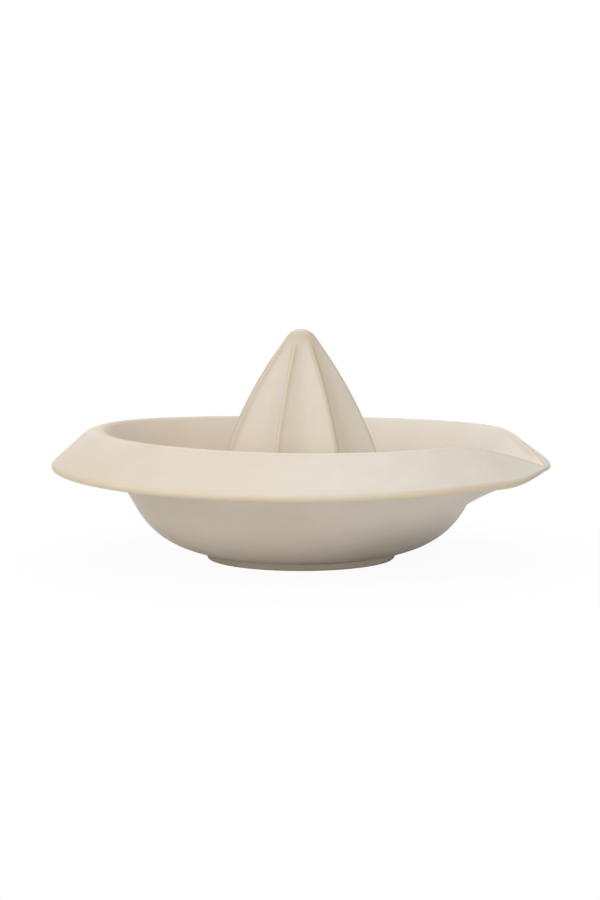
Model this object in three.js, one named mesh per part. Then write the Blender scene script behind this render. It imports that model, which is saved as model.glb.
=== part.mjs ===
import * as THREE from 'three';
import { mergeVertices } from 'three/addons/utils/BufferGeometryUtils.js';

// A glazed stoneware citrus juicer, in millimetres, standing on z = 0 with its spout pointing along +X.
// The clay pieces meet on flat seats, so each seat is one plane that both pieces share.

// Foot ring under the bowl
const footRadius = 34.2;
const footWidth = 6.4;
const footHeight = 2.5;
const footRounding = 0.8;

// Bowl, from its floor to the seat that carries the rim
const baseRadius = 34.7;
const floorThickness = 4.7;
const seatHeight = 20;
const seatRadius = 60.3;
const seatWidth = 4.9;
const wallSlope = 60.5;
const baseSlope = 11.5;
const bellyReach = 15.7;
const shoulderReach = 8.7;
const channelReach = 10;
const channelShoulder = 8;

// Reamer: a hollow cone with ridges, standing on the floor with a spigot through it
const reamerHeight = 83;
const reamerRadius = 36;
const reamerSideSlope = 84;
const reamerSideReach = 20;
const reamerNoseRadius = 6.4;
const reamerNoseTurn = 51;
const reamerNoseReach = 33.5;
const fluteCount = 8;
const fluteDepth = 5.6;
const ridgeSoftness = 0.12;
const fluteFadeStart = 4;
const fluteFadeEnd = 13;
const spigotShoulder = 1.2;
const spigotWidth = 3.2;
const spigotClearance = 0.3;
const hollowTipWall = 9;
const hollowTipReach = 9.5;
const hollowSideReach = 23;

// Rim: the wall flares to a rounded crest, and the brim slopes down from there to a round edge
const brimRadius = 90;
const brimEdgeHeight = 33.5;
const brimThickness = 3.6;
const brimWidth = 14.8;
const crestHeight = 46.1;
const crestRounding = 2.6;
const flareSlope = 46;
const flareReach = 7;
const wallReach = 10;
const underWallReach = 17;
const underBrimLength = 10;
const underBrimReach = 6;

// Spout: a V trough whose two creases leave the crest at a tangent, bow outwards and meet at a thin tip
const creaseRounding = 0.6;
const creaseBow = 0.15;
const tipLand = 0.1;
const tipThickness = 2;
const tipEase = 1.2;
const valleySlope = 14;
const valleyReach = 14;
const valleyRise = 5;
const keelSlope = 15;
const keelLength = 1;
const keelReach = 11;
const keelRise = 3;

// Warp of the fired rim: two opposite sides stand high, and the crest leans
const saddleHeight = 1;
const leanHeight = 0.75;
const warpHeading = 18;

// Fineness of the curved faces
const turnSteps = 60;
const spoutSteps = 20;
const stepsPerFlute = 10;
const curveSteps = 8;
const arcSteps = 5;

const rad = THREE.MathUtils.degToRad;
const mix = THREE.MathUtils.lerp;
const smooth = THREE.MathUtils.smoothstep;

/** Unit vector in the section plane, at an angle above the outward direction. */
function heading(degrees) {
  return new THREE.Vector2(Math.cos(rad(degrees)), Math.sin(rad(degrees)));
}

/** The point at a distance from another, along a direction. */
function along(point, direction, distance) {
  return point.clone().addScaledVector(direction, distance);
}

/** Points of a round edge. Angles are those of its outward normal, clockwise from straight up. */
function roundEdge(centre, radius, fromDegrees, toDegrees, steps = arcSteps) {
  const points = [];
  for (let i = 0; i <= steps; i += 1) {
    const turn = rad(mix(fromDegrees, toDegrees, i / steps));
    points.push(new THREE.Vector2(centre.x + radius * Math.sin(turn), centre.y + radius * Math.cos(turn)));
  }
  return points;
}

/** Points of a smooth curve between two points, given the handle at each. */
function curve(start, startHandle, endHandle, end, steps = curveSteps) {
  return new THREE.CubicBezierCurve(start, startHandle, endHandle, end).getPoints(steps);
}

/** Joins runs of points into one outline and drops points that repeat the one before. */
function outline(...runs) {
  const points = [];
  for (const point of runs.flat()) {
    const last = points[points.length - 1];
    if (!last || last.distanceTo(point) > 1e-6) points.push(point);
  }
  return points;
}

/** A closed body from vertices and faces, turned so that its faces point out. */
function body(vertices, faces) {
  let volume = 0;
  for (const [a, b, c] of faces) {
    volume += vertices[a].dot(vertices[b].clone().cross(vertices[c]));
  }
  const outward = volume > 0 ? faces : faces.map(([a, b, c]) => [a, c, b]);
  const geometry = new THREE.BufferGeometry();
  geometry.setFromPoints(vertices);
  geometry.setIndex(outward.flat());
  return geometry;
}

/** A ring turned from a closed section about the Z axis. */
function turned(section) {
  const geometry = new THREE.LatheGeometry([...section, section[0]], turnSteps);
  geometry.deleteAttribute('normal');
  geometry.deleteAttribute('uv');
  geometry.rotateX(Math.PI / 2);
  const merged = mergeVertices(geometry, 1e-5);
  const vertices = [];
  for (let i = 0; i < merged.attributes.position.count; i += 1) {
    vertices.push(new THREE.Vector3().fromBufferAttribute(merged.attributes.position, i));
  }
  const index = merged.index.array;
  const faces = [];
  for (let i = 0; i < index.length; i += 3) {
    const face = [index[i], index[i + 1], index[i + 2]];
    if (new Set(face).size === 3) faces.push(face);
  }
  return body(vertices, faces);
}

/** A body swept through closed sections at a row of angles, with a flat face at each end. */
function swept(sections, angles) {
  const vertices = [];
  const faces = [];
  const count = sections[0].length;
  sections.forEach((section, row) => {
    for (const point of section) {
      const x = point.x * Math.cos(angles[row]);
      const y = point.x * Math.sin(angles[row]);
      vertices.push(new THREE.Vector3(x, y, point.y));
    }
  });
  for (let row = 0; row + 1 < sections.length; row += 1) {
    for (let i = 0; i < count; i += 1) {
      const next = (i + 1) % count;
      const a = row * count + i;
      const b = row * count + next;
      faces.push([a, b, b + count], [a, b + count, a + count]);
    }
  }
  const last = (sections.length - 1) * count;
  for (const [a, b, c] of THREE.ShapeUtils.triangulateShape(sections[0], [])) {
    faces.push([a, c, b]);
  }
  for (const [a, b, c] of THREE.ShapeUtils.triangulateShape(sections[sections.length - 1], [])) {
    faces.push([last + a, last + b, last + c]);
  }
  return body(vertices, faces);
}

// Heights and radii that the pieces share
const floorTop = footHeight + floorThickness;
const spigotRadius = reamerRadius - fluteDepth - spigotShoulder;
const openingRadius = spigotRadius + spigotClearance;
const seatInnerRadius = seatRadius - seatWidth;
const edgeRounding = brimThickness / 2;
const crestRadius = brimRadius - brimWidth;
const crestCentre = new THREE.Vector2(crestRadius, crestHeight - crestRounding);
const edgeCentre = new THREE.Vector2(brimRadius - edgeRounding, brimEdgeHeight);

// The brim's top is the common tangent of the crest and the edge
const edgeFromCrest = edgeCentre.clone().sub(crestCentre);
const radiusLean = Math.asin((crestRounding - edgeRounding) / edgeFromCrest.length());
const brimAngle = Math.atan2(-edgeFromCrest.y, edgeFromCrest.x) + radiusLean;
const brimSlope = THREE.MathUtils.radToDeg(brimAngle);
const brimStart = along(crestCentre, heading(90 - brimSlope), crestRounding);

/** The point where the brim's top, at a slope, meets a round edge that reaches the brim's radius. */
function brimEnd(slope, rounding) {
  const radius = brimRadius - rounding * (1 - heading(90 - slope).x);
  return along(brimStart, heading(-slope), (radius - brimStart.x) / heading(-slope).x);
}

const tipRadius = brimEnd(brimSlope - tipEase, tipThickness / 2).x - tipLand;

// The creases touch the circle where the brim starts, and this is how far round from the tip they do
const creaseTurn = Math.acos(brimStart.x / tipRadius);

/** How far the crease has run at an angle from the spout: 0 at the crest and 1 at the tip. */
function creaseRun(angle) {
  const turn = Math.max(0, creaseTurn - Math.abs(angle));
  const straight = (brimStart.x / Math.cos(turn) - brimStart.x) / (tipRadius - brimStart.x);
  return straight * (1 + creaseBow * (1 - straight));
}

/** Section through the wall, crest and brim, where run says how far the crease has moved out. */
function rimSection(run) {
  const slope = brimSlope - tipEase * run * run;
  const normal = heading(90 - slope);
  const rounding = mix(crestRounding, creaseRounding, run);
  const edgeRadius = mix(edgeRounding, tipThickness / 2, smooth(run, 0, 1));
  const edgeTop = brimEnd(slope, edgeRadius);
  const edgeMiddle = along(edgeTop, normal, -edgeRadius);
  const lipShare = run * (tipRadius - brimStart.x) / (edgeTop.x - brimStart.x);
  const lipCentre = along(brimStart.clone().lerp(edgeTop, lipShare), normal, -rounding);
  const insideSlope = mix(flareSlope, valleySlope, run);
  const lip = roundEdge(lipCentre, rounding, -insideSlope, slope);

  const insideSeat = new THREE.Vector2(seatInnerRadius, seatHeight);
  const insideRise = along(insideSeat, heading(wallSlope), mix(wallReach, valleyRise, run));
  const insideReach = along(lip[0], heading(insideSlope), -mix(flareReach, valleyReach, run));
  const inside = curve(insideSeat, insideRise, insideReach, lip[0]);

  const underRun = run * (2 - run);
  const underSlope = mix(slope, -keelSlope, underRun);
  const edge = roundEdge(edgeMiddle, edgeRadius, slope, 180 + underSlope, arcSteps + 2);
  const inward = heading(180 - underSlope);
  const underEnd = along(edge[edge.length - 1], inward, mix(underBrimLength, keelLength, underRun));

  const outsideSeat = new THREE.Vector2(seatRadius, seatHeight);
  const outsideRise = along(outsideSeat, heading(wallSlope), mix(underWallReach, keelRise, underRun));
  const outsideReach = along(underEnd, inward, mix(underBrimReach, keelReach, underRun));
  const outside = curve(underEnd, outsideReach, outsideRise, outsideSeat);
  return outline(inside, lip, edge, outside).reverse();
}

/** Lifts a section's points by the warp of the fired rim at an angle round the juicer. */
function warped(section, angle) {
  const turn = angle - rad(warpHeading);
  return section.map((point) => {
    const high = smooth(point.x, seatRadius, crestRadius);
    const leaning = high * (1 - smooth(point.x, brimStart.x, brimRadius));
    const lift = saddleHeight * high * Math.cos(2 * turn) - leanHeight * leaning * Math.cos(turn);
    return new THREE.Vector2(point.x, point.y + lift);
  });
}

/** Sweeps the rim's section from one angle to another. */
function rimSweep(fromAngle, toAngle, steps) {
  const sections = [];
  const angles = [];
  for (let i = 0; i <= steps; i += 1) {
    const angle = mix(fromAngle, toAngle, i / steps);
    sections.push(warped(rimSection(creaseRun(angle)), angle));
    angles.push(angle);
  }
  return swept(sections, angles);
}

function footRing() {
  const innerRadius = footRadius - footWidth;
  const outerEdge = new THREE.Vector2(footRadius - footRounding, footRounding);
  const innerEdge = new THREE.Vector2(innerRadius + footRounding, footRounding);
  return turned(outline(
    [new THREE.Vector2(innerRadius, footHeight), new THREE.Vector2(footRadius, footHeight)],
    roundEdge(outerEdge, footRounding, 90, 180, 3),
    roundEdge(innerEdge, footRounding, 180, 270, 3),
  ));
}

function bowl() {
  const base = new THREE.Vector2(baseRadius, footHeight);
  const outsideSeat = new THREE.Vector2(seatRadius, seatHeight);
  const belly = along(base, heading(baseSlope), bellyReach);
  const shoulder = along(outsideSeat, heading(wallSlope), -shoulderReach);
  const outside = curve(base, belly, shoulder, outsideSeat, curveSteps + 2);

  const insideSeat = new THREE.Vector2(seatInnerRadius, seatHeight);
  const floorEdge = new THREE.Vector2(reamerRadius, floorTop);
  const insideShoulder = along(insideSeat, heading(wallSlope), -channelShoulder);
  const channel = along(floorEdge, heading(0), channelReach);
  const inside = curve(insideSeat, insideShoulder, channel, floorEdge, curveSteps + 2);
  return turned(outline(
    [new THREE.Vector2(openingRadius, footHeight)],
    outside,
    inside,
    [new THREE.Vector2(openingRadius, floorTop)],
  ));
}

/** Depth of the flutes, as a share of their full depth, at an angle round the reamer. */
function fluteShare(angle) {
  const wave = Math.abs(Math.sin(angle * fluteCount / 2));
  return (Math.hypot(wave, ridgeSoftness) - ridgeSoftness) / (Math.hypot(1, ridgeSoftness) - ridgeSoftness);
}

function reamer() {
  const noseCentre = new THREE.Vector2(0, reamerHeight - reamerNoseRadius);
  const nose = roundEdge(noseCentre, reamerNoseRadius, 0, reamerNoseTurn);
  const noseEnd = nose[nose.length - 1];
  const foot = new THREE.Vector2(reamerRadius, floorTop);
  const noseHandle = along(noseEnd, heading(-reamerNoseTurn), reamerNoseReach);
  const footHandle = along(foot, heading(180 - reamerSideSlope), reamerSideReach);
  const flank = curve(noseEnd, noseHandle, footHandle, foot, curveSteps + 4);
  const ridge = outline(nose, flank);

  const spigotInner = spigotRadius - spigotWidth;
  const hollowTop = new THREE.Vector2(0, reamerHeight - hollowTipWall);
  const hollowFoot = new THREE.Vector2(spigotInner, floorTop);
  const hollowSide = along(hollowFoot, heading(180 - reamerSideSlope), hollowSideReach);
  const hollow = curve(hollowFoot, hollowSide, along(hollowTop, heading(0), hollowTipReach), hollowTop);
  const plain = outline(
    [new THREE.Vector2(spigotRadius, floorTop), new THREE.Vector2(spigotRadius, footHeight)],
    [new THREE.Vector2(spigotInner, footHeight)],
    hollow,
  );

  const rows = [
    ...ridge.slice(1).map((point) => ({ point, fluted: true })),
    ...plain.slice(0, -1).map((point) => ({ point, fluted: false })),
  ];
  const count = fluteCount * stepsPerFlute;
  const vertices = [];
  for (const { point, fluted } of rows) {
    const depth = fluteDepth * point.x / reamerRadius * smooth(point.x, fluteFadeStart, fluteFadeEnd);
    for (let i = 0; i < count; i += 1) {
      const angle = i / count * 2 * Math.PI;
      const radius = fluted ? point.x - depth * fluteShare(angle) : point.x;
      vertices.push(new THREE.Vector3(radius * Math.cos(angle), radius * Math.sin(angle), point.y));
    }
  }
  const tip = vertices.push(new THREE.Vector3(0, 0, reamerHeight)) - 1;
  const hollowTip = vertices.push(new THREE.Vector3(0, 0, hollowTop.y)) - 1;
  const faces = [];
  const lastRow = (rows.length - 1) * count;
  for (let i = 0; i < count; i += 1) {
    const next = (i + 1) % count;
    faces.push([tip, i, next]);
    for (let row = 0; row < lastRow; row += count) {
      faces.push([row + i, row + count + i, row + count + next], [row + i, row + count + next, row + next]);
    }
    faces.push([lastRow + i, hollowTip, lastRow + next]);
  }
  return body(vertices, faces);
}

/** A named piece of glazed stoneware. */
function piece(name, geometry, colour, roughness) {
  const material = new THREE.MeshStandardMaterial({ color: colour, roughness, metalness: 0 });
  const mesh = new THREE.Mesh(geometry, material);
  mesh.name = name;
  return mesh;
}

const juicer = new THREE.Group();
juicer.add(
  piece('foot_ring', footRing(), 0xc9bba2, 0.7),
  piece('bowl', bowl(), 0xd9ccb8, 0.55),
  piece('reamer', reamer(), 0xdccfbc, 0.55),
  piece('rim', rimSweep(creaseTurn, 2 * Math.PI - creaseTurn, turnSteps), 0xe3dacb, 0.5),
  piece('spout', rimSweep(-creaseTurn, creaseTurn, spoutSteps), 0xe0d5c4, 0.5),
);

export default juicer;
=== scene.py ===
"""Looks of a glazed stoneware citrus juicer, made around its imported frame."""

import logging
import math
from dataclasses import dataclass, field
from enum import Enum

import bpy
import numpy as np
from mathutils import Color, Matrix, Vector


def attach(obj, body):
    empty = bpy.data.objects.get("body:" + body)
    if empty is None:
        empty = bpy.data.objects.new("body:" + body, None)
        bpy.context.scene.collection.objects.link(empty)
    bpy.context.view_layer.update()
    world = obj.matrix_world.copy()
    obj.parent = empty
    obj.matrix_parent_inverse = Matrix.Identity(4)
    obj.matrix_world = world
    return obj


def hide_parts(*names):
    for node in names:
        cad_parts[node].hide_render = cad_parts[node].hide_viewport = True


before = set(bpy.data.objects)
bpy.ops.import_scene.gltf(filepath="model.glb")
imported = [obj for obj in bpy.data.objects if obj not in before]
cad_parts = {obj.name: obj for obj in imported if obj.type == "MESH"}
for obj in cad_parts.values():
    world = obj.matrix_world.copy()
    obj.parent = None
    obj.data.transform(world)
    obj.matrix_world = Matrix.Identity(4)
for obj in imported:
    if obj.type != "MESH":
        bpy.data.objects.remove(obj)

MM = 0.001
# Named attribute for where clay colour shows: thin glaze, and painted warm shade beside the cone's ridges,
# in its flutes and on the inside towards the picture's left.
THIN = "thin_glaze"
# Named attribute for the darkening colour: toasted clay, and painted shade on the lower bowl, the foot,
# beside the cone's ridges, up the cone and at the spout's tip.
TOAST_AND_SHADE = "toast_and_painted_shade"
FLUTED = "flute_weight"
WHITE = (1.0, 1.0, 1.0, 1.0)
DISPLAY_WHITE = 255.0
NOISE_MIDDLE = 0.5
FULL_TURN = 2.0 * math.pi

log = logging.getLogger("juicer")


class Piece(Enum):
    """The clay pieces of the juicer, named after the frame's nodes."""

    FOOT = "foot_ring"
    BOWL = "bowl"
    REAMER = "reamer"
    RIM = "rim"
    SPOUT = "spout"


class Slot(Enum):
    """The record's material slots."""

    CREAM = "cream_glaze"
    THIN = "thin_glaze"


def mix(low: float, high: float, share: float) -> float:
    """Returns the value at a share of the way from low to high."""
    return low + (high - low) * share


def smooth(value: "np.ndarray | float", start: float, end: float) -> "np.ndarray | float":
    """Eases from 0 to 1 as a value goes from start to end."""
    share = np.clip((value - start) / (end - start), 0.0, 1.0)
    return share * share * (3.0 - 2.0 * share)


def heading(degrees: float) -> np.ndarray:
    """Returns the unit vector at an angle from the first of two axes towards the second."""
    return np.array([math.cos(math.radians(degrees)), math.sin(math.radians(degrees))])


def curve(start: np.ndarray, start_handle: np.ndarray, end_handle: np.ndarray, end: np.ndarray,
          steps: int) -> np.ndarray:
    """Makes the points of a smooth curve.

    Args:
        start: First point.
        start_handle: Handle of the first point.
        end_handle: Handle of the last point.
        end: Last point.
        steps: Number of steps along the curve.

    Returns:
        The points, one more than the steps.
    """
    gone = np.linspace(0.0, 1.0, steps + 1)[:, None]
    left = 1.0 - gone
    first = left**3 * start + 3 * gone * left**2 * start_handle
    return first + 3 * gone**2 * left * end_handle + gone**3 * end


def round_edge(centre: np.ndarray, radius: float, start: float, end: float, steps: int) -> np.ndarray:
    """Makes the points of a round edge.

    Args:
        centre: Centre of the rounding.
        radius: Radius of the rounding.
        start: Angle of the first point's outward normal, in degrees clockwise from straight up.
        end: The same angle at the last point.
        steps: Number of steps along the rounding.

    Returns:
        The points, one more than the steps.
    """
    turn = np.radians(np.linspace(start, end, steps + 1))
    return centre + radius * np.stack([np.sin(turn), np.cos(turn)], axis=1)


def joined(*runs: np.ndarray) -> np.ndarray:
    """Joins runs of points whose ends meet, and keeps each shared point once."""
    return np.concatenate([runs[0]] + [run[1:] for run in runs[1:]])


def spun(section: np.ndarray, angle: float) -> np.ndarray:
    """Turns a section of radius and height to an angle round the juicer, as points in space."""
    radius, height = section.T
    return np.stack([radius * math.cos(angle), radius * math.sin(angle), height], axis=1)


def between(here: int, there: int, size: int) -> list[tuple[int, ...]]:
    """Makes the faces between two columns of points that each run in a ring.

    Args:
        here: Number of the first column's first point.
        there: Number of the second column's first point.
        size: Points in a column.

    Returns:
        The faces, in the order of the points.
    """
    faces = []
    for row in range(size):
        after = (row + 1) % size
        faces.append((here + row, here + after, there + after, there + row))
    return faces


class Wire:
    """A node's output that takes part in Python arithmetic."""

    def __init__(self, sheet: "NodeSheet", socket: bpy.types.NodeSocket) -> None:
        """Keeps the socket and the sheet that it belongs to."""
        self.sheet = sheet
        self.socket = socket

    def __add__(self, other: "Wire | float") -> "Wire":
        """Adds a value."""
        return self.sheet.maths("ADD", self, other)

    def __radd__(self, other: float) -> "Wire":
        """Is added to a value."""
        return self.sheet.maths("ADD", other, self)

    def __sub__(self, other: "Wire | float") -> "Wire":
        """Takes a value away."""
        return self.sheet.maths("SUBTRACT", self, other)

    def __rsub__(self, other: float) -> "Wire":
        """Is taken away from a value."""
        return self.sheet.maths("SUBTRACT", other, self)

    def __mul__(self, other: "Wire | float") -> "Wire":
        """Multiplies by a value."""
        return self.sheet.maths("MULTIPLY", self, other)

    def __rmul__(self, other: float) -> "Wire":
        """Multiplies a value."""
        return self.sheet.maths("MULTIPLY", other, self)

    def __truediv__(self, other: "Wire | float") -> "Wire":
        """Divides by a value."""
        return self.sheet.maths("DIVIDE", self, other)

    def __rtruediv__(self, other: float) -> "Wire":
        """Divides a value."""
        return self.sheet.maths("DIVIDE", other, self)

    def __abs__(self) -> "Wire":
        """Drops the sign."""
        return self.sheet.maths("ABSOLUTE", self)

    def root(self) -> "Wire":
        """Takes the square root."""
        return self.sheet.maths("SQRT", self)

    def sine(self) -> "Wire":
        """Takes the sine."""
        return self.sheet.maths("SINE", self)

    def clamped(self) -> "Wire":
        """Keeps the value between 0 and 1."""
        return self.sheet.add("ShaderNodeClamp", {}, {"Value": self})


class NodeSheet:
    """A node tree with one way to add any node."""

    def __init__(self, tree: bpy.types.NodeTree) -> None:
        """Keeps the tree and clears it."""
        self.tree = tree
        self.tree.nodes.clear()

    def node(self, kind: str, settings: dict, values: dict) -> bpy.types.Node:
        """Adds a node.

        Args:
            kind: The node's type.
            settings: Its properties by name, set before its sockets.
            values: Numbers, colours or wires by the socket's name or index.

        Returns:
            The new node.
        """
        made = self.tree.nodes.new(kind)
        for name, value in settings.items():
            setattr(made, name, value)
        for key, value in values.items():
            if isinstance(value, Wire):
                self.tree.links.new(value.socket, made.inputs[key])
            else:
                made.inputs[key].default_value = value
        return made

    def add(self, kind: str, settings: dict, values: dict, output: "int | str" = 0) -> Wire:
        """Adds a node and returns one of its outputs, by name or index, as a wire."""
        return Wire(self, self.node(kind, settings, values).outputs[output])

    def maths(self, operation: str, first: "Wire | float", second: "Wire | float" = 0.0) -> Wire:
        """Adds a Math node for an operation on one or two values and returns its result."""
        return self.add("ShaderNodeMath", {"operation": operation}, {0: first, 1: second})

    def blend(self, low: "Wire | tuple", high: "Wire | tuple", share: "Wire | float") -> Wire:
        """Mixes two colours by a share and returns the result."""
        # The colour sockets of a Mix node follow those of its numbers and vectors.
        values = {0: share, 6: low, 7: high}
        return self.add("ShaderNodeMix", {"data_type": "RGBA"}, values, 2)

    def noise(self, where: Wire, scale: float, detail: float) -> Wire:
        """Adds a noise with a scale and a number of finer layers, and returns its value around 0."""
        values = {"Vector": where, "Scale": scale, "Detail": detail}
        return self.add("ShaderNodeTexNoise", {}, values) - NOISE_MIDDLE

    def ramp(self, value: Wire, start: "Wire | float", end: "Wire | float", low: float = 0.0,
             high: float = 1.0) -> Wire:
        """Eases from low to high as a value goes from start to end.

        Args:
            value: The value to follow.
            start: Where the result leaves low.
            end: Where the result reaches high.
            low: The result up to the start.
            high: The result from the end on.

        Returns:
            The eased value.
        """
        return self.add("ShaderNodeMapRange", {"interpolation_type": "SMOOTHSTEP"}, {
            "Value": value,
            "From Min": start,
            "From Max": end,
            "To Min": low,
            "To Max": high,
        })


def linear(red: int, green: int, blue: int) -> tuple[float, ...]:
    """Turns a display colour of 0 to 255 into the linear colour that a shader takes."""
    shown = Color([channel / DISPLAY_WHITE for channel in (red, green, blue)])
    return (*shown.from_srgb_to_scene_linear(), 1.0)


@dataclass(frozen=True)
class GlazeFinish:
    """A satin cream glaze over a tan clay that shows where the glaze runs thin."""

    name: str
    cream: tuple = linear(232, 224, 212)
    shade: tuple = linear(223, 211, 197)
    shade_middle: float = 0.4
    clay: tuple = linear(229, 211, 178)
    thin_everywhere: float = 0.0
    thin_strength: float = 0.85
    thin_clouds: float = 0.5
    # Painted shade: the glaze turns darker and warmer towards the picture's left, broken up by random
    # cloudy patches.
    warm_shade: tuple = linear(217, 201, 181)
    warm_shade_share: float = 0.95
    warm_shade_middle: float = 0.3
    warm_shade_spread: float = 8.0
    warm_shade_clouds: float = 0.5
    picture_left: tuple = (-0.95, -0.31, 0.0)
    # Darkening colour, used both for toasted clay and for painted shade.
    toast_and_shade: tuple = linear(150, 139, 123)
    toast_and_shade_share: float = 0.65
    toast_and_shade_clouds: float = 0.6
    cloud_scale: float = 42.0
    cloud_detail: float = 4.0
    cloud_share: float = 1.6
    cloud_height: float = 0.9
    streak_scale: tuple = (6.0, 6.0, 210.0)
    streak_detail: float = 3.0
    streak_share: float = 0.35
    streak_height: float = 0.35
    grain_scale: float = 900.0
    grain_detail: float = 2.0
    grain_share: float = 0.3
    grain_height: float = 0.12
    bump_strength: float = 0.5
    bump_depth: float = 0.00022
    roughness: float = 0.5
    grain_roughness: float = 0.1
    thin_roughness: float = 0.12
    coat: float = 0.12
    coat_roughness: float = 0.32

    def material(self) -> bpy.types.Material:
        """Builds the glaze as a material.

        Returns:
            The new material.
        """
        made = bpy.data.materials.new(self.name)
        made.use_nodes = True
        sheet = NodeSheet(made.node_tree)
        where = sheet.add("ShaderNodeTexCoord", {}, {}, "Object")
        bands = sheet.add("ShaderNodeMapping", {}, {"Vector": where, "Scale": self.streak_scale})
        clouds = sheet.noise(where, self.cloud_scale, self.cloud_detail)
        streaks = sheet.noise(bands, 1.0, self.streak_detail)
        grain = sheet.noise(where, self.grain_scale, self.grain_detail)
        thin = sheet.add("ShaderNodeAttribute", {"attribute_name": THIN}, {}, "Fac")
        toasted_and_shaded = sheet.add("ShaderNodeAttribute", {"attribute_name": TOAST_AND_SHADE}, {}, "Fac")
        product = {"operation": "DOT_PRODUCT"}
        # How far a point lies towards the picture's left, for the painted warm shade.
        facing = sheet.add("ShaderNodeVectorMath", product, {0: where, 1: self.picture_left}, "Value")

        uneven = clouds * self.cloud_share + streaks * self.streak_share + grain * self.grain_share
        tone = (uneven + self.shade_middle).clamped()
        warm = (facing * self.warm_shade_spread + self.warm_shade_middle + clouds * self.warm_shade_clouds).clamped()
        worn = thin * self.thin_strength + clouds * thin * self.thin_clouds
        broken = (worn + self.thin_everywhere).clamped()
        # How far the darkening colour covers the glaze: toasted clay and painted shade alike.
        burnt_and_shaded = (toasted_and_shaded * (1.0 + clouds * self.toast_and_shade_clouds) * self.toast_and_shade_share).clamped()
        plain = sheet.blend(self.cream, self.shade, tone)
        glaze = sheet.blend(plain, self.warm_shade, warm * self.warm_shade_share)
        edged = sheet.blend(glaze, self.clay, broken)
        height = clouds * self.cloud_height + streaks * self.streak_height + grain * self.grain_height
        bump = {"Strength": self.bump_strength, "Distance": self.bump_depth, "Height": height}
        shader = sheet.add("ShaderNodeBsdfPrincipled", {}, {
            "Base Color": sheet.blend(edged, self.toast_and_shade, burnt_and_shaded),
            "Roughness": self.roughness + grain * self.grain_roughness + broken * self.thin_roughness,
            "Normal": sheet.add("ShaderNodeBump", {}, bump),
            "Coat Weight": self.coat,
            "Coat Roughness": self.coat_roughness,
        })
        sheet.node("ShaderNodeOutputMaterial", {}, {"Surface": shader})
        return made


@dataclass
class MeshSource:
    """Vertices, faces and per-vertex facts of a piece, in millimetres."""

    points: np.ndarray
    faces: list[tuple[int, ...]]
    thin: np.ndarray
    normals: "np.ndarray | None" = None
    plain_faces: int = 0
    extra: dict[str, np.ndarray] = field(default_factory=dict)

    def mesh(self, name: str) -> bpy.types.Mesh:
        """Makes a Blender mesh in metres.

        Args:
            name: The mesh's name.

        Returns:
            The mesh, smooth shaded, with its attributes.
        """
        made = bpy.data.meshes.new(name)
        made.from_pydata((self.points * MM).tolist(), [], self.faces)
        made.polygons.foreach_set("use_smooth", [True] * len(made.polygons))
        self.write(made, THIN, self.thin)
        for key, values in self.extra.items():
            self.write(made, key, values)
        if self.normals is not None:
            corners = np.zeros(len(made.loops), np.int32)
            made.loops.foreach_get("vertex_index", corners)
            shading = self.normals[corners]
            plain = sum(len(face) for face in self.faces[len(self.faces) - self.plain_faces:])
            if plain:
                shading[-plain:] = 0.0
            made.normals_split_custom_set(shading.tolist())
        made.update()
        return made

    @staticmethod
    def write(mesh: bpy.types.Mesh, name: str, values: np.ndarray) -> None:
        """Writes one number for each vertex as a named attribute."""
        layer = mesh.attributes.new(name, "FLOAT", "POINT")
        layer.data.foreach_set("value", np.asarray(values, np.float32))


def place(source: MeshSource, piece: Piece, material: bpy.types.Material) -> bpy.types.Object:
    """Makes a piece's object and links it into the scene.

    Args:
        source: The piece's mesh.
        piece: Which clay piece it is.
        material: Its glaze.

    Returns:
        The object, at the origin.
    """
    made = bpy.data.objects.new("glazed_" + piece.value, source.mesh(piece.value))
    made.data.materials.append(material)
    bpy.context.scene.collection.objects.link(made)
    return made


def register(made: bpy.types.Object, piece: Piece, slot: Slot) -> None:
    """Hangs a piece on the root body and hides the frame's node that it stands for.

    Args:
        made: The piece's object.
        piece: Which clay piece it is.
        slot: The record's slot, whose name is only logged with the piece.
    """
    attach(made, "root")
    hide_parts(piece.value)
    log.info("%s: %d faces, slot %s", made.name, len(made.data.polygons), slot.value)


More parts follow.
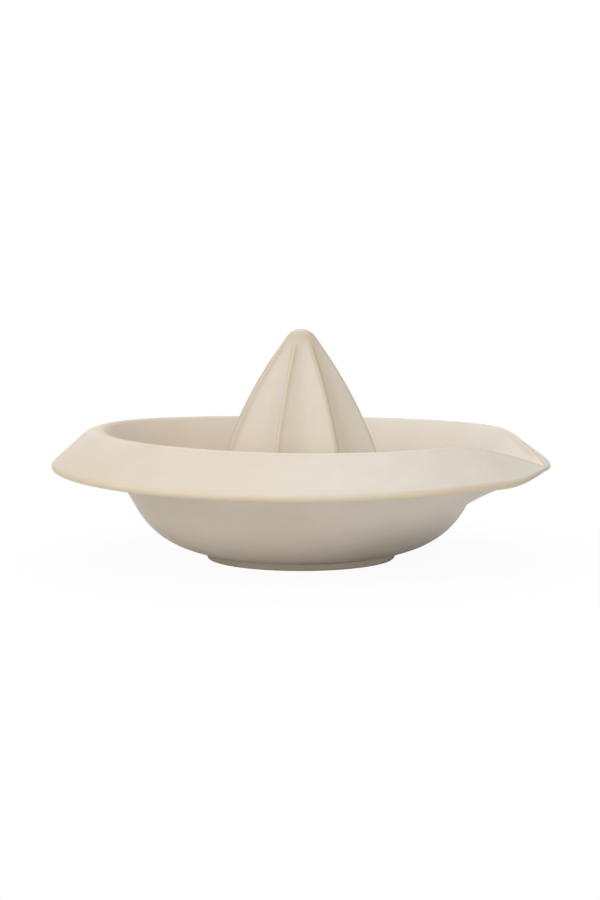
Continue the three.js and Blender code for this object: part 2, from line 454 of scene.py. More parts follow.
@dataclass
class Rim:
    """Sizes of the wall, crest, brim and spout, and the section through them."""

    seat_height: float = 20.0
    seat_radius: float = 60.3
    seat_width: float = 4.9
    wall_slope: float = 60.5
    brim_radius: float = 89.98
    edge_height: float = 33.5
    brim_thickness: float = 3.6
    crest_radius: float = 75.2
    crest_height: float = 46.1
    crest_rounding: float = 2.6
    crest_roll: float = 10.0
    crest_inner: float = 3.0
    roll_shift: float = 2.6
    roll_heading: float = 198.0
    roll_width: float = 26.0
    flare_slope: float = 46.0
    flare_reach: float = 7.0
    wall_reach: float = 10.0
    under_wall_reach: float = 17.0
    under_brim_length: float = 10.0
    under_brim_reach: float = 6.0
    crease_rounding: float = 0.6
    crease_bow: float = 0.15
    tip_land: float = 0.1
    tip_thickness: float = 2.0
    tip_ease: float = 1.2
    valley_slope: float = 14.0
    valley_reach: float = 14.0
    valley_rise: float = 5.0
    keel_slope: float = 15.0
    keel_length: float = 1.0
    keel_reach: float = 11.0
    keel_rise: float = 3.0
    saddle_height: float = 1.0
    lean_height: float = 0.75
    droop_height: float = 0.75
    droop_heading: float = -18.0
    droop_width: float = 8.0
    droop_reach: float = 8.0
    crest_ease: float = 0.3
    warp_heading: float = 18.0
    worn_above: float = 1.6
    fade_above: float = 0.2
    worn_beneath: float = 0.8
    fade_beneath: float = 1.4
    lip_core: float = 0.4
    lip_fade: float = 2.6
    crease_fade: float = 3.2
    curve_steps: int = 36
    lip_steps: int = 18
    inner_steps: int = 8
    brim_steps: int = 14
    edge_steps: int = 18
    brim_slope: float = field(init=False)
    brim_start: np.ndarray = field(init=False)
    tip_radius: float = field(init=False)
    crease_turn: float = field(init=False)

    def __post_init__(self) -> None:
        """Works out the brim's slope and where the creases leave the crest."""
        edge_rounding = self.brim_thickness / 2.0
        crest = np.array([self.crest_radius, self.crest_height - self.crest_rounding])
        edge_centre = np.array([self.brim_radius - edge_rounding, self.edge_height])
        across = edge_centre - crest
        lean = math.asin((self.crest_rounding - edge_rounding) / np.hypot(*across))
        self.brim_slope = math.degrees(math.atan2(-across[1], across[0]) + lean)
        self.brim_start = crest + heading(90.0 - self.brim_slope) * self.crest_rounding
        tip_slope = self.brim_slope - self.tip_ease
        self.tip_radius = self.brim_end(tip_slope, self.tip_thickness / 2.0)[0] - self.tip_land
        self.crease_turn = math.acos(self.brim_start[0] / self.tip_radius)

    def brim_end(self, slope: float, edge_rounding: float) -> np.ndarray:
        """Finds where the brim's top meets a round edge that reaches the brim's radius.

        Args:
            slope: Fall of the brim's top, in degrees.
            edge_rounding: Radius of the edge.

        Returns:
            The point as radius and height.
        """
        radius = self.brim_radius - edge_rounding * (1.0 - heading(90.0 - slope)[0])
        fall = math.tan(math.radians(slope)) * (radius - self.brim_start[0])
        return np.array([radius, self.brim_start[1] - fall])

    def crease_run(self, angle: float) -> float:
        """Says how far the crease has run out at an angle from the spout.

        Args:
            angle: Angle round the juicer from the spout, in radians.

        Returns:
            0 at the crest and 1 at the tip.
        """
        turn = max(0.0, self.crease_turn - abs(angle))
        start = self.brim_start[0]
        straight = (start / math.cos(turn) - start) / (self.tip_radius - start)
        return straight * (1.0 + self.crease_bow * (1.0 - straight))

    @staticmethod
    def beside(angle: float, degrees: float, width: float) -> float:
        """Returns 1 where an angle in radians lies on a heading in degrees, and less away from it."""
        away = (math.degrees(angle) - degrees + 180.0) % 360.0 - 180.0
        return math.exp(-((away / width) ** 2))

    def lip(self, crease: np.ndarray, slope: float, inside_slope: float, run: float,
            soft: float) -> np.ndarray:
        """Makes the lip, tight along the creases and rolled over broadly where the crest is soft.

        Args:
            crease: Where a tight lip meets the brim's top.
            slope: Fall of the brim's top, in degrees.
            inside_slope: Rise of the inside below the lip, in degrees.
            run: How far the crease has moved out.
            soft: How broadly the crest rolls over.

        Returns:
            The points from the inside to the brim's top.
        """
        tight = mix(self.crest_rounding, self.crease_rounding, run)
        roll = mix(tight, self.crest_roll, soft)
        inner = mix(tight, self.crest_inner, soft)
        end = crease + heading(-slope) * self.roll_shift * soft
        centre = end - heading(90.0 - slope) * roll
        crown = centre + heading(90.0) * (roll - inner)
        return joined(
            round_edge(crown, inner, -inside_slope, 0.0, self.inner_steps),
            round_edge(centre, roll, 0.0, slope, self.lip_steps - self.inner_steps),
        )

    def underside(self, edge_end: np.ndarray, slope: float, under: float) -> np.ndarray:
        """Makes the section from the end of the brim's edge to the outside of the seat.

        Args:
            edge_end: Where the round edge ends below the brim.
            slope: Fall of the brim's underside, in degrees.
            under: How far the underside has turned into the spout's keel.

        Returns:
            The points as radius and height.
        """
        inward = heading(180.0 - slope)
        brim_end = edge_end + inward * mix(self.under_brim_length, self.keel_length, under)
        brim = np.linspace(edge_end, brim_end, self.brim_steps // 2 + 1)
        seat = np.array([self.seat_radius, self.seat_height])
        climb = seat + heading(self.wall_slope) * mix(self.under_wall_reach, self.keel_rise, under)
        bend = brim_end + inward * mix(self.under_brim_reach, self.keel_reach, under)
        return joined(brim, curve(brim_end, bend, climb, seat, self.curve_steps))

    def section(self, angle: float) -> np.ndarray:
        """Makes the section from the inside of the seat, over the brim, to its outside.

        Args:
            angle: Angle of the section round the juicer, in radians.

        Returns:
            The points as radius and height.
        """
        run = self.crease_run(angle)
        thickness = mix(self.brim_thickness, self.tip_thickness, smooth(run, 0.0, 1.0))
        edge_rounding = thickness / 2.0
        slope = self.brim_slope - self.tip_ease * run * run
        brim_end = self.brim_end(slope, edge_rounding)
        edge_centre = brim_end - heading(90.0 - slope) * edge_rounding
        share = run * (self.tip_radius - self.brim_start[0]) / (brim_end[0] - self.brim_start[0])
        crease = self.brim_start + (brim_end - self.brim_start) * share
        inside_slope = mix(self.flare_slope, self.valley_slope, run)
        soft = self.beside(angle, self.roll_heading, self.roll_width)
        lip = self.lip(crease, slope, inside_slope, run, soft)

        seat = np.array([self.seat_radius - self.seat_width, self.seat_height])
        rise = seat + heading(self.wall_slope) * mix(self.wall_reach, self.valley_rise, run)
        reach = lip[0] - heading(inside_slope) * mix(self.flare_reach, self.valley_reach, run)
        inside = curve(seat, rise, reach, lip[0], self.curve_steps)
        brim = np.linspace(lip[-1], brim_end, self.brim_steps + 1)

        under = run * (2.0 - run)
        under_slope = mix(slope, -self.keel_slope, under)
        edge = round_edge(edge_centre, edge_rounding, slope, 180.0 + under_slope, self.edge_steps)
        return joined(inside, lip, brim, edge, self.underside(edge[-1], under_slope, under))

    def marks(self, points: np.ndarray, run: float) -> tuple[np.ndarray, np.ndarray]:
        """Says which points of a section take the marks of its edge and its lip.

        Args:
            points: The section's points as radius and height.
            run: How far the crease has moved out there.

        Returns:
            How far each point lies on the brim's edge, and how far on the lip.
        """
        steps = np.hypot(*np.diff(points, axis=0).T)
        length = np.concatenate([[0.0], np.cumsum(steps)])
        lip_middle = length[self.curve_steps + self.inner_steps]
        edge_start = self.curve_steps + self.lip_steps + self.brim_steps
        edge_middle = length[edge_start + self.edge_steps // 2]
        half = length[edge_start + self.edge_steps] - edge_middle
        above = 1.0 - smooth(edge_middle - length, half - self.worn_above, half + self.fade_above)
        beneath = 1.0 - smooth(length - edge_middle, half - self.worn_beneath, half + self.fade_beneath)
        fade = mix(self.lip_fade, self.crease_fade, run)
        return above * beneath, 1.0 - smooth(np.abs(length - lip_middle), self.lip_core, fade)

    def lifted(self, points: np.ndarray, angle: float) -> np.ndarray:
        """Lifts a section's points by the warp of the fired rim.

        Args:
            points: Points as radius and height.
            angle: Angle of the section round the juicer, in radians.

        Returns:
            The lifted points.
        """
        turn = angle - math.radians(self.warp_heading)
        radius = points[:, 0]
        high = smooth(radius, self.seat_radius, self.crest_radius)
        leaning = high * (1.0 - smooth(radius, self.brim_start[0], self.brim_radius))
        outermost = smooth(radius, self.brim_radius - self.droop_reach, self.brim_radius)
        lift = self.saddle_height * high * math.cos(2 * turn)
        lift -= self.lean_height * leaning * math.cos(turn)
        lift -= self.crest_ease * leaning * math.cos(2 * turn)
        lift -= self.droop_height * outermost * self.beside(angle, self.droop_heading, self.droop_width)
        return points + np.stack([np.zeros(len(points)), lift], axis=1)


@dataclass(frozen=True)
class WallMarks:
    """Where the glaze runs thin over the wall, where the clay is toasted, and where shade is painted on
    it.
    """

    # How far a point lies towards the picture's right shifts the marks below.
    picture_right_heading: float = 18.0
    rightward_start: float = -0.2
    rightward_end: float = 0.7
    edge_thin: float = 0.76
    right_edge_thin: float = 1.1
    crest_thin: float = 0.2
    crease_thin: float = 0.65
    # Painted warm shade on the inside wall towards the picture's left.
    inside_warm_shade: float = 0.2
    edge_toast: float = 0.08
    right_edge_darkening: float = 0.15
    # Painted shade on the brim's edge towards the spout's tip.
    tip_darkening: float = 0.45
    tip_start: float = 0.05
    tip_end: float = 0.5
    crest_toast: float = 0.28
    crease_toast: float = 0.35
    crease_start: float = 0.55
    crease_end: float = 0.9
    # Painted shade on the outer bowl, darker near the floor and towards the picture's right.
    low_painted_shade: float = 0.55
    low_start: float = 2.5
    low_end: float = 17.0
    low_climb: float = 8.0
    side_start: float = -12.0
    side_end: float = 38.0

    def marks(self, column: np.ndarray, angle: float, run: float, edge: np.ndarray,
              lip: np.ndarray) -> tuple[np.ndarray, np.ndarray]:
        """Says how the glaze and the clay look over a column of the wall.

        Args:
            column: The column's points as radius and height.
            angle: Its angle round the juicer, in radians.
            run: How far the crease has moved out there.
            edge: How far each point lies on the brim's edge.
            lip: How far each point lies on the lip.

        Returns:
            How thin the glaze runs at each point, with painted warm shade on the inside, and how dark it
            is, from toasted clay and painted shade.
        """
        side = math.cos(angle - math.radians(self.picture_right_heading))
        rightward = smooth(side, self.rightward_start, self.rightward_end)
        rows = np.arange(len(column))
        inner = rows < np.argmax(lip)
        outer = rows > np.argmax(edge)
        thin = np.maximum.reduce([
            # Towards the picture's right the brim's edge shows more clay.
            edge * mix(self.edge_thin, self.right_edge_thin, rightward),
            lip * mix(self.crest_thin, self.crease_thin, math.sqrt(run)),
            # Painted warm shade: the inside shows clay colour towards the picture's left.
            inner * self.inside_warm_shade * (1.0 - rightward),
        ])
        # Painted shade: the outer bowl darkens near the floor, from the middle towards the picture's
        # right, and reaches higher there.
        away = smooth(column[:, 0] * side, self.side_start, self.side_end)
        low = 1.0 - smooth(column[:, 1] - self.low_climb * away, self.low_start, self.low_end)
        # The brim's edge darkens more towards the picture's right.
        burnt_and_shaded = mix(self.edge_toast, self.right_edge_darkening, rightward)
        # Painted shade: the brim's edge darkens towards the spout's tip.
        burnt_and_shaded += self.tip_darkening * smooth(run, self.tip_start, self.tip_end)
        crease = mix(self.crest_toast, self.crease_toast, run)
        crease *= 1.0 - smooth(run, self.crease_start, self.crease_end)
        toast_and_shade = np.maximum.reduce([outer * low * away * self.low_painted_shade, edge * burnt_and_shaded, lip * crease])
        return thin, toast_and_shade


@dataclass
class Body:
    """The bowl, rim and spout, laid out on one grid so that the glaze runs over their seams."""

    rim: Rim
    wall_marks: WallMarks
    foot_height: float = 2.5
    base_radius: float = 34.7
    base_slope: float = 11.5
    belly_reach: float = 15.7
    shoulder_reach: float = 8.7
    floor_thickness: float = 4.7
    floor_edge: float = 36.0
    channel_reach: float = 10.0
    channel_shoulder: float = 8.0
    opening_radius: float = 29.5
    bowl_steps: int = 34
    floor_points: int = 6
    spout_columns: int = 96
    rim_columns: int = 320

    def outside(self) -> np.ndarray:
        """Makes the bowl's outer profile from the seat down to the base, and in to the opening.

        Returns:
            The points as radius and height.
        """
        rim = self.rim
        seat = np.array([rim.seat_radius, rim.seat_height])
        base = np.array([self.base_radius, self.foot_height])
        shoulder = seat - heading(rim.wall_slope) * self.shoulder_reach
        belly = base + heading(self.base_slope) * self.belly_reach
        wall = curve(seat, shoulder, belly, base, self.bowl_steps)
        inner = np.array([self.opening_radius, self.foot_height])
        return joined(wall, np.linspace(base, inner, self.floor_points))

    def inside(self) -> np.ndarray:
        """Makes the bowl's inner profile from the opening, over the floor, up to the seat.

        Returns:
            The points as radius and height.
        """
        rim = self.rim
        floor_top = self.foot_height + self.floor_thickness
        seat = np.array([rim.seat_radius - rim.seat_width, rim.seat_height])
        edge = np.array([self.floor_edge, floor_top])
        shoulder = seat - heading(rim.wall_slope) * self.channel_shoulder
        channel = edge + heading(0.0) * self.channel_reach
        wall = curve(edge, channel, shoulder, seat, self.bowl_steps)
        inner = np.array([self.opening_radius, floor_top])
        return joined(np.linspace(inner, edge, self.floor_points), wall)

    def grid(self) -> tuple[np.ndarray, np.ndarray, np.ndarray, int, int]:
        """Lays out the whole wall as columns round the juicer.

        Returns:
            The grid of points, the glaze's thinness, the darkening of toasted clay and painted shade, and
            the places of the inner and outer seat in a column.
        """
        turn = self.rim.crease_turn
        spout = np.linspace(-turn, turn, self.spout_columns + 1)
        ring = np.linspace(turn, FULL_TURN - turn, self.rim_columns + 1)
        inside = self.inside()
        outside = self.outside()
        before, after = len(inside) - 1, len(outside) - 1
        columns = []
        looks = []
        for angle in np.concatenate([spout, ring[1:-1]]):
            run = self.rim.crease_run(angle)
            points = self.rim.section(angle)
            column = joined(inside, self.rim.lifted(points, angle), outside)
            edge, lip = (np.pad(mark, (before, after)) for mark in self.rim.marks(points, run))
            looks.append(self.wall_marks.marks(column, angle, run, edge, lip))
            columns.append(spun(column, angle))
        thin, toast_and_shade = np.array(looks).transpose(1, 0, 2)
        return np.array(columns), thin, toast_and_shade, before, len(columns[0]) - len(outside)

    @staticmethod
    def grid_normals(grid: np.ndarray) -> np.ndarray:
        """Works out the outward direction at each point of the grid.

        Args:
            grid: Points by column and row.

        Returns:
            The unit directions by column and row.
        """
        padded = np.concatenate([grid[-1:], grid, grid[:1]])
        around = padded[2:] - padded[:-2]
        along = np.gradient(grid, axis=1)
        normals = np.cross(around, along)
        normals /= np.linalg.norm(normals, axis=2, keepdims=True)
        return -normals

    def pieces(self) -> dict[Piece, MeshSource]:
        """Cuts the grid into the bowl, rim and spout at their seats.

        Returns:
            A closed mesh for each piece.
        """
        grid, thin, toast_and_shade, seat_in, seat_out = self.grid()
        normals = self.grid_normals(grid)
        count = len(grid)
        spout = list(range(self.spout_columns + 1))
        ring = list(range(self.spout_columns, count)) + [0]
        upper = list(range(seat_in, seat_out + 1))
        lower = list(range(seat_out, grid.shape[1])) + list(range(seat_in + 1))
        whole = list(range(count)) + [0]
        made = {}
        for piece, columns, rows in (
            (Piece.SPOUT, spout, upper),
            (Piece.RIM, ring, upper),
            (Piece.BOWL, whole, lower),
        ):
            made[piece] = self.cut(grid, thin, toast_and_shade, normals, columns, rows, piece is Piece.BOWL)
        return made

    @staticmethod
    def cut(grid: np.ndarray, thin: np.ndarray, toast_and_shade: np.ndarray, normals: np.ndarray,
            columns: list[int], rows: list[int], closed: bool) -> MeshSource:
        """Takes a closed piece out of the grid.

        Args:
            grid: Points by column and row.
            thin: Thinness of the glaze by column and row.
            toast_and_shade: How dark toasted clay and painted shade make it, by column and row.
            normals: Outward directions by column and row.
            columns: The columns that the piece spans.
            rows: The rows round its section, where the last meets the first on its seat.
            closed: Whether the columns come round to where they start.

        Returns:
            The piece's mesh, with the faces of its seats last.
        """
        kept = columns[:-1] if closed else columns
        size = len(rows)
        block = np.ix_(kept, rows)
        glazed = []
        seats = []
        for column in range(len(columns) - 1):
            there = (column + 1) % len(kept) * size
            for row, face in enumerate(between(column * size, there, size)):
                neighbours = abs(rows[(row + 1) % size] - rows[row]) == 1
                (glazed if neighbours else seats).append(face)
        if not closed:
            last = (len(kept) - 1) * size
            seats.append(tuple(reversed(range(size))))
            seats.append(tuple(range(last, last + size)))
        return MeshSource(
            points=grid[block].reshape(-1, 3),
            faces=glazed + seats,
            thin=thin[block].ravel(),
            normals=normals[block].reshape(-1, 3),
            plain_faces=len(seats),
            extra={TOAST_AND_SHADE: toast_and_shade[block].ravel()},
        )


@dataclass
class FootRing:
    """The low ring that the juicer stands on."""

    radius: float = 34.2
    width: float = 6.4
    height: float = 2.5
    rounding: float = 0.8
    thin: float = 0.6
    thin_start: float = 0.4
    thin_end: float = 2.0
    # Darker all over: partly the foot's bare, toasted clay, partly painted shade under the bowl.
    toast_and_shade: float = 0.52
    columns: int = 240
    steps: int = 8
    side_points: int = 5

    def source(self) -> MeshSource:
        """Turns the ring from its section.

        Returns:
            The ring's closed mesh.
        """
        inner = self.radius - self.width
        outer_edge = np.array([self.radius - self.rounding, self.rounding])
        inner_edge = np.array([inner + self.rounding, self.rounding])
        low_out = round_edge(outer_edge, self.rounding, 90.0, 180.0, self.steps)
        low_in = round_edge(inner_edge, self.rounding, 180.0, 270.0, self.steps)
        side = np.linspace([self.radius, self.height], low_out[0], self.side_points)
        bottom = np.linspace(low_out[-1], low_in[0], self.side_points)
        back = np.linspace(low_in[-1], [inner, self.height], self.side_points)
        section = joined(side, low_out, bottom, low_in, back)
        angles = np.linspace(0.0, FULL_TURN, self.columns, endpoint=False)
        size = len(section)
        faces = []
        for column in range(self.columns):
            faces += between(column * size, (column + 1) % self.columns * size, size)
        low = self.thin * (1.0 - smooth(section[:, 1], self.thin_start, self.thin_end))
        return MeshSource(
            points=np.concatenate([spun(section, angle) for angle in angles]),
            faces=faces,
            thin=np.tile(low, self.columns),
            extra={TOAST_AND_SHADE: np.full(size * self.columns, self.toast_and_shade)},
        )


@dataclass
class Reamer:
    """The hollow cone, whose flutes are cut by a rule in a node tree."""

    height: float = 83.0
    radius: float = 36.0
    side_slope: float = 84.0
    side_reach: float = 20.0
    nose_radius: float = 6.4
    nose_turn: float = 51.0
    nose_reach: float = 33.5
    flutes: int = 8
    flute_depth: float = 5.6
    ridge_softness: float = 0.05
    fade_start: float = 4.0
    fade_end: float = 13.0
    floor_top: float = 7.2
    foot_height: float = 2.5
    spigot_radius: float = 29.2
    spigot_width: float = 3.2
    tip_wall: float = 9.0
    tip_reach: float = 9.5
    hollow_reach: float = 23.0
    ridge_line: float = 0.5
    line_core: float = 0.3
    line_thin: float = 0.9
    # How far the ridge's line is kept out of the painted flank shade, which leaves a lighter line as a
    # painted highlight.
    line_highlight: float = 0.95
    # Bands beside each ridge: thin glaze, and painted shade that reaches further on one side of every
    # ridge.
    ridge_flank: float = 1.7
    flank_shade_skew: float = 0.4
    flank_thin_and_shade: float = 0.5
    flank_thin_and_shade_rise: float = 0.3
    flank_shade: float = 0.4
    # Painted warm shade across each flute, strongest towards the picture's right.
    flute_shade: float = 0.6
    flute_shade_heading: float = 18.0
    # Painted shade: the cone darkens from half its height up to its tip.
    upper_start: float = 0.5
    upper_shade: float = 0.16
    tanned_tip: float = 7.0
    tip_core: float = 0.3
    tip_thin: float = 0.65
    tip_darkening: float = 0.25
    columns_per_flute: int = 40
    nose_steps: int = 14
    flank_steps: int = 80
    hollow_steps: int = 24

    def profile(self) -> tuple[np.ndarray, int]:
        """Makes the profile from the tip, down the ridge, and up inside to the hollow's top.

        Returns:
            The points as radius and height, and how many of them lie on the ridge.
        """
        centre = np.array([0.0, self.height - self.nose_radius])
        nose = round_edge(centre, self.nose_radius, 0.0, self.nose_turn, self.nose_steps)
        foot = np.array([self.radius, self.floor_top])
        nose_handle = nose[-1] + heading(-self.nose_turn) * self.nose_reach
        foot_handle = foot + heading(180.0 - self.side_slope) * self.side_reach
        ridge = joined(nose, curve(nose[-1], nose_handle, foot_handle, foot, self.flank_steps))
        inner = self.spigot_radius - self.spigot_width
        spigot = np.array([
            [self.spigot_radius, self.floor_top],
            [self.spigot_radius, self.foot_height],
            [inner, self.foot_height],
        ])
        hollow_foot = np.array([inner, self.floor_top])
        hollow_top = np.array([0.0, self.height - self.tip_wall])
        side = hollow_foot + heading(180.0 - self.side_slope) * self.hollow_reach
        top = hollow_top + heading(0.0) * self.tip_reach
        hollow = curve(hollow_foot, side, top, hollow_top, self.hollow_steps)
        return np.concatenate([ridge, spigot, hollow]), len(ridge)

    def source(self) -> MeshSource:
        """Turns the cone before its flutes are cut.

        Returns:
            The closed mesh, with a weight that says where flutes may cut.
        """
        profile, on_ridge = self.profile()
        columns = self.flutes * self.columns_per_flute
        angles = np.linspace(0.0, FULL_TURN, columns, endpoint=False)
        rows = profile[1:-1]
        radius, height = rows[:, :1], rows[:, 1:]
        rings = [radius * np.cos(angles), radius * np.sin(angles), np.repeat(height, columns, axis=1)]
        points = np.stack(rings, axis=2).reshape(-1, 3)
        tips = np.array([[0.0, 0.0, profile[0, 1]], [0.0, 0.0, profile[-1, 1]]])
        weight = np.repeat(np.arange(1, len(profile) - 1) < on_ridge, columns).astype(float)
        top = len(points)
        last = (len(rows) - 1) * columns
        faces = []
        for column in range(columns):
            after = (column + 1) % columns
            faces.append((top, column, after))
            for row in range(0, last, columns):
                below = row + columns
                faces.append((row + column, below + column, below + after, row + after))
            faces.append((last + column, top + 1, last + after))
        points = np.concatenate([points, tips])
        weight = np.concatenate([weight, [1.0, 0.0]])
        return MeshSource(points, faces, np.zeros(len(points)), extra={FLUTED: weight})

    def numbers(self) -> dict[str, float]:
        """Gives the numbers that the node tree takes.

        Returns:
            The numbers by the name of their input, in metres and radians.
        """
        return {
            "Flutes": float(self.flutes),
            "Depth": self.flute_depth * MM,
            "Radius": self.radius * MM,
            "Softness": self.ridge_softness,
            "Fade Start": self.fade_start * MM,
            "Fade End": self.fade_end * MM,
            "Ridge Line": self.ridge_line * MM,
            "Ridge Flank": self.ridge_flank * MM,
            "Flank Shade Skew": self.flank_shade_skew,
            "Flute Shade": self.flute_shade,
            "Flute Shade Heading": math.radians(self.flute_shade_heading),
            "Upper Start": self.height * self.upper_start * MM,
            "Tip Start": (self.height - self.tanned_tip) * MM,
            "Tip End": (self.height - self.tanned_tip * self.tip_core) * MM,
        }

    def marks(self, sheet: NodeSheet, given: dict[str, Wire], angle: Wire, away: Wire,
              height: Wire) -> tuple[Wire, Wire]:
        """Works out how the glaze and the clay look over the ridges, flutes and tip.

        Args:
            sheet: The node tree.
            given: Its inputs by name.
            angle: Angle round the cone.
            away: Distance from the nearest ridge.
            height: Height above the floor that the juicer stands on.

        Returns:
            How thin the glaze runs, with painted warm shade on the flanks and flutes, and how dark it is,
            from the tan tip and painted shade.
        """
        line = sheet.ramp(away, given["Ridge Line"] * self.line_core, given["Ridge Line"], 1.0, 0.0)
        # The painted shade beside each ridge reaches further on one side than on the other.
        side = sheet.maths("SIGN", (angle * given["Flutes"]).sine())
        reach = given["Ridge Flank"] * (side * given["Flank Shade Skew"] + 1.0)
        flank = sheet.ramp(away, given["Ridge Line"], reach, 1.0, 0.0)
        tip = sheet.ramp(height, given["Tip Start"], given["Tip End"])
        upper = sheet.ramp(height, given["Upper Start"], given["Tip Start"])
        below = 1.0 - tip

        # Clay colour beside the ridges: partly thin glaze, partly painted warm shade, stronger up the
        # cone.
        flank_thin_and_shade = flank * (upper * self.flank_thin_and_shade_rise + self.flank_thin_and_shade)
        ridge = sheet.maths("MAXIMUM", line * self.line_thin, flank_thin_and_shade) * below
        # Painted warm shade: each flute shows clay colour next to one ridge, fading across it, most
        # towards the picture's right.
        across = sheet.maths("FRACT", angle * given["Flutes"] * (1.0 / FULL_TURN))
        turned = (sheet.maths("COSINE", angle - given["Flute Shade Heading"]) + 1.0) / 2.0
        flute_shade = (1.0 - across) * (1.0 - line) * turned * given["Flute Shade"]
        thin = sheet.maths("MAXIMUM", sheet.maths("MAXIMUM", ridge, tip * self.tip_thin), flute_shade)
        # Painted shade on the flanks, with the ridge's line kept out of it as a lighter, painted
        # highlight.
        flank_shade = (flank - line * self.line_highlight) * below * self.flank_shade
        # Darkening: the tan tip, and painted shade on the flanks and up the cone.
        toast_and_shade = sheet.maths("MAXIMUM", flank_shade, tip * self.tip_darkening) + upper * self.upper_shade
        return thin, toast_and_shade

    def tree(self) -> tuple[bpy.types.NodeTree, dict[str, str]]:
        """Builds the node tree that cuts the flutes and marks the ridges.

        Returns:
            The tree, and the identifier of each named input.
        """
        tree = bpy.data.node_groups.new("cut_flutes", "GeometryNodeTree")
        kinds = {"Geometry": "NodeSocketGeometry", "Glaze": "NodeSocketMaterial"}
        kinds.update(dict.fromkeys(self.numbers(), "NodeSocketFloat"))
        sockets = {}
        for name, kind in kinds.items():
            sockets[name] = tree.interface.new_socket(name, in_out="INPUT", socket_type=kind).identifier
        tree.interface.new_socket("Geometry", in_out="OUTPUT", socket_type="NodeSocketGeometry")
        sheet = NodeSheet(tree)
        entry = sheet.node("NodeGroupInput", {}, {})
        given = {name: Wire(sheet, entry.outputs[name]) for name in sockets}

        position = sheet.add("GeometryNodeInputPosition", {}, {})
        parts = sheet.node("ShaderNodeSeparateXYZ", {}, {0: position})
        x, y, z = (Wire(sheet, parts.outputs[axis]) for axis in "XYZ")
        weight = sheet.add("GeometryNodeInputNamedAttribute", {"data_type": "FLOAT"}, {"Name": FLUTED})
        radius = (x * x + y * y).root()
        angle = sheet.maths("ARCTAN2", y, x)
        wave = abs((angle * given["Flutes"] / 2.0).sine())
        soft = given["Softness"]
        share = ((wave * wave + soft * soft).root() - soft) / ((soft * soft + 1.0).root() - soft)
        fade = sheet.ramp(radius, given["Fade Start"], given["Fade End"])
        shrink = 1.0 - given["Depth"] / given["Radius"] * fade * share * weight
        moved = sheet.add("ShaderNodeCombineXYZ", {}, {"X": x * shrink, "Y": y * shrink, "Z": z})
        away = wave * radius * 2.0 / given["Flutes"]
        thin, toast_and_shade = self.marks(sheet, given, angle, away, z)

        made = sheet.add("GeometryNodeSetPosition", {}, {"Geometry": given["Geometry"], "Position": moved})
        stored = {"data_type": "FLOAT", "domain": "POINT"}
        for name, value in ((THIN, thin), (TOAST_AND_SHADE, toast_and_shade)):
            values = {"Geometry": made, "Name": name, "Value": value * weight}
            made = sheet.add("GeometryNodeStoreNamedAttribute", stored, values)
        made = sheet.add("GeometryNodeRealizeInstances", {}, {"Geometry": made})
        made = sheet.add("GeometryNodeSetMaterial", {}, {"Geometry": made, "Material": given["Glaze"]})
        sheet.node("NodeGroupOutput", {}, {"Geometry": made})
        return tree, sockets

    def cut_flutes(self, made: bpy.types.Object, material: bpy.types.Material) -> None:
        """Runs the node tree on the cone and keeps its result as a plain mesh.

        Args:
            made: The cone's object.
            material: Its glaze.
        """
        tree, sockets = self.tree()
        modifier = made.modifiers.new("flutes", "NODES")
        modifier.node_group = tree
        modifier[sockets["Glaze"]] = material
        for name, value in self.numbers().items():
            modifier[sockets[name]] = value
        graph = bpy.context.evaluated_depsgraph_get()
        result = bpy.data.meshes.new_from_object(made.evaluated_get(graph))
        made.modifiers.clear()
        made.data = result
        result.polygons.foreach_set("use_smooth", [True] * len(result.polygons))


@dataclass(frozen=True)
class ViewPoint:
    """Where the camera stands, in a frame of 600 by 900 pixels."""

    azimuth: float = 18.0
    elevation: float = 5.57
    distance: float = 726.2
    aim_height: float = 39.11
    aim_side: float = -0.36
    focal_pixels: float = 2000.0
    frame_height: float = 900.0
    sensor: float = 24.0

    def axes(self) -> tuple[Vector, Vector]:
        """Returns the directions to the picture's right and towards the camera, on the floor."""
        across, along = heading(self.azimuth)
        return Vector((across, along, 0.0)), Vector((along, -across, 0.0))

    def camera(self) -> None:
        """Makes the scene's camera."""
        lens = bpy.data.cameras.new("camera")
        lens.sensor_fit = "VERTICAL"
        lens.sensor_height = self.sensor
        lens.lens = self.sensor * self.focal_pixels / self.frame_height
        made = bpy.data.objects.new("camera", lens)
        rise = math.radians(self.elevation)
        right, towards = self.axes()
        offset = towards * math.cos(rise) + Vector((0.0, 0.0, math.sin(rise)))
        aim = right * self.aim_side + Vector((0.0, 0.0, self.aim_height))
        made.location = (offset * self.distance + aim) * MM
        made.rotation_euler = (-offset).to_track_quat("-Z", "Y").to_euler()
        bpy.context.scene.collection.objects.link(made)
        bpy.context.scene.camera = made


@dataclass(frozen=True)
class Softbox:
    """A studio lamp with a flat front, placed by the picture's directions in metres."""

    name: str
    right: float
    towards: float
    up: float
    width: float
    height: float
    power: float

    def hang(self, view: ViewPoint, aim: Vector) -> None:
        """Makes the lamp and turns it to the object.

        Args:
            view: The view whose directions place the lamp.
            aim: The point that it lights.
        """
        lamp = bpy.data.lights.new(self.name, "AREA")
        lamp.shape = "RECTANGLE"
        lamp.size = self.width
        lamp.size_y = self.height
        lamp.energy = self.power
        made = bpy.data.objects.new(self.name, lamp)
        right, towards = view.axes()
        made.location = right * self.right + towards * self.towards + Vector((0.0, 0.0, self.up))
        made.rotation_euler = (aim - made.location).to_track_quat("-Z", "Y").to_euler()
        made.visible_camera = False
        bpy.context.scene.collection.objects.link(made)


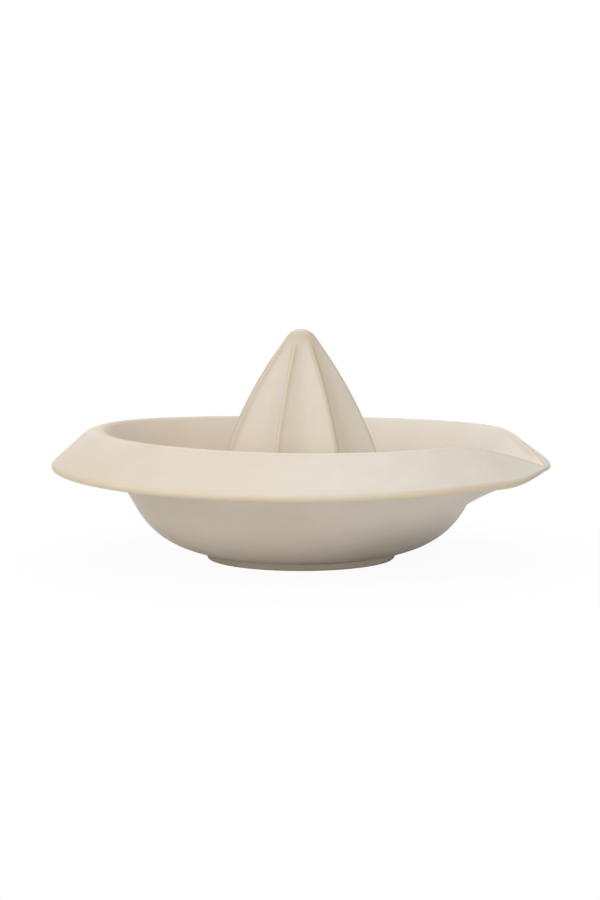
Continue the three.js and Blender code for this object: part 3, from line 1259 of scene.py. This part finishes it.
@dataclass(frozen=True)
class Studio:
    """A white room with a pale floor that keeps the juicer's shadow, in metres."""

    sky: float = 0.02
    floor_colour: tuple = (0.85, 0.85, 0.85, 1.0)
    floor_radius: float = 3.0
    floor_corners: int = 96
    shadow_radius: float = 0.15
    shadow_core: float = 0.4
    shadow_share: float = 0.05
    shade_radius: float = 0.075
    shade_core: float = 0.6
    shade_share: float = 0.9
    lamp_aim: float = 0.035

    @staticmethod
    def rays(sheet: NodeSheet) -> tuple[Wire, Wire]:
        """Tells the rays apart that reach the room.

        Args:
            sheet: The node tree of the world or the floor.

        Returns:
            1 for rays that see the white background, and 1 for those that are reflections.
        """
        path = sheet.node("ShaderNodeLightPath", {}, {})
        names = ("Is Camera Ray", "Is Glossy Ray", "Is Transmission Ray")
        camera, glossy, through = (Wire(sheet, path.outputs[name]) for name in names)
        return (camera + glossy + through).clamped(), glossy

    def world(self) -> None:
        """Lights the room evenly, in front of a white background."""
        world = bpy.data.worlds.new("studio")
        world.use_nodes = True
        sheet = NodeSheet(world.node_tree)
        light = sheet.add("ShaderNodeBackground", {}, {"Color": WHITE, "Strength": self.sky})
        white = sheet.add("ShaderNodeBackground", {}, {"Color": WHITE, "Strength": 1.0})
        surface = sheet.add("ShaderNodeMixShader", {}, {0: self.rays(sheet)[0], 1: light, 2: white})
        sheet.node("ShaderNodeOutputWorld", {}, {"Surface": surface})
        bpy.context.scene.world = world

    def floor(self) -> None:
        """Lays the floor, white to the camera apart from the shadow near the juicer."""
        material = bpy.data.materials.new("studio_floor")
        material.use_nodes = True
        sheet = NodeSheet(material.node_tree)
        where = sheet.add("ShaderNodeTexCoord", {}, {}, "Object")
        away = sheet.add("ShaderNodeVectorMath", {"operation": "LENGTH"}, {0: where}, "Value")
        shadow_start = self.shadow_radius * self.shadow_core
        shade_start = self.shade_radius * self.shade_core
        shadow = sheet.ramp(away, shadow_start, self.shadow_radius, self.shadow_share, 0.0)
        shade = sheet.ramp(away, shade_start, self.shade_radius, self.shade_share, 0.0)
        seen, mirrored = self.rays(sheet)
        kept = sheet.maths("MAXIMUM", shadow, shade * mirrored)
        white = sheet.add("ShaderNodeEmission", {}, {"Color": WHITE, "Strength": 1.0})
        paint = sheet.add("ShaderNodeBsdfDiffuse", {}, {"Color": self.floor_colour})
        lit = sheet.add("ShaderNodeBsdfDiffuse", {}, {"Color": WHITE})
        shown = sheet.add("ShaderNodeMixShader", {}, {0: kept, 1: white, 2: lit})
        surface = sheet.add("ShaderNodeMixShader", {}, {0: seen, 1: paint, 2: shown})
        sheet.node("ShaderNodeOutputMaterial", {}, {"Surface": surface})
        bpy.ops.mesh.primitive_circle_add(
            vertices=self.floor_corners, radius=self.floor_radius, fill_type="NGON",
        )
        floor = bpy.context.object
        floor.name = "studio_floor"
        floor.data.materials.append(material)

    def lamps(self, view: ViewPoint) -> None:
        """Hangs the lamps round the juicer.

        Args:
            view: The view whose directions place them.
        """
        aim = Vector((0.0, 0.0, self.lamp_aim))
        for lamp in (
            Softbox("front", right=0.0, towards=0.9, up=1.2, width=1.6, height=0.8, power=10.1),
            Softbox("side", right=-1.6, towards=0.1, up=0.6, width=1.0, height=1.0, power=5.1),
            Softbox("front_left", right=-0.9, towards=1.0, up=0.75, width=0.9, height=0.6, power=3.9),
            Softbox("front_low", right=0.0, towards=1.5, up=0.3, width=1.8, height=0.6, power=3.1),
            Softbox("low", right=0.0, towards=1.6, up=0.1, width=1.6, height=0.2, power=2.5),
            Softbox("low_right", right=1.6, towards=0.1, up=0.2, width=1.0, height=0.4, power=2.9),
            Softbox("behind", right=-0.3, towards=-1.3, up=0.9, width=1.2, height=0.8, power=1.6),
            Softbox("behind_above", right=0.0, towards=-0.7, up=1.4, width=1.2, height=0.8, power=9.7),
        ):
            lamp.hang(view, aim)


def main() -> None:
    """Builds the juicer's pieces in order, then the room round them."""
    logging.basicConfig(level=logging.INFO, format="%(name)s %(message)s")
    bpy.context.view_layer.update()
    bpy.context.scene.view_settings.view_transform = "Standard"
    view = ViewPoint()
    view.camera()

    cream = GlazeFinish(Slot.CREAM.value).material()
    worn = GlazeFinish(Slot.THIN.value, thin_everywhere=0.12, roughness=0.62).material()
    register(place(FootRing().source(), Piece.FOOT, worn), Piece.FOOT, Slot.THIN)
    for piece, source in Body(Rim(), WallMarks()).pieces().items():
        register(place(source, piece, cream), piece, Slot.CREAM)
    reamer = Reamer()
    cone = place(reamer.source(), Piece.REAMER, cream)
    reamer.cut_flutes(cone, cream)
    register(cone, Piece.REAMER, Slot.CREAM)

    studio = Studio()
    studio.world()
    studio.floor()
    studio.lamps(view)


if __name__ == "__main__":
    main()
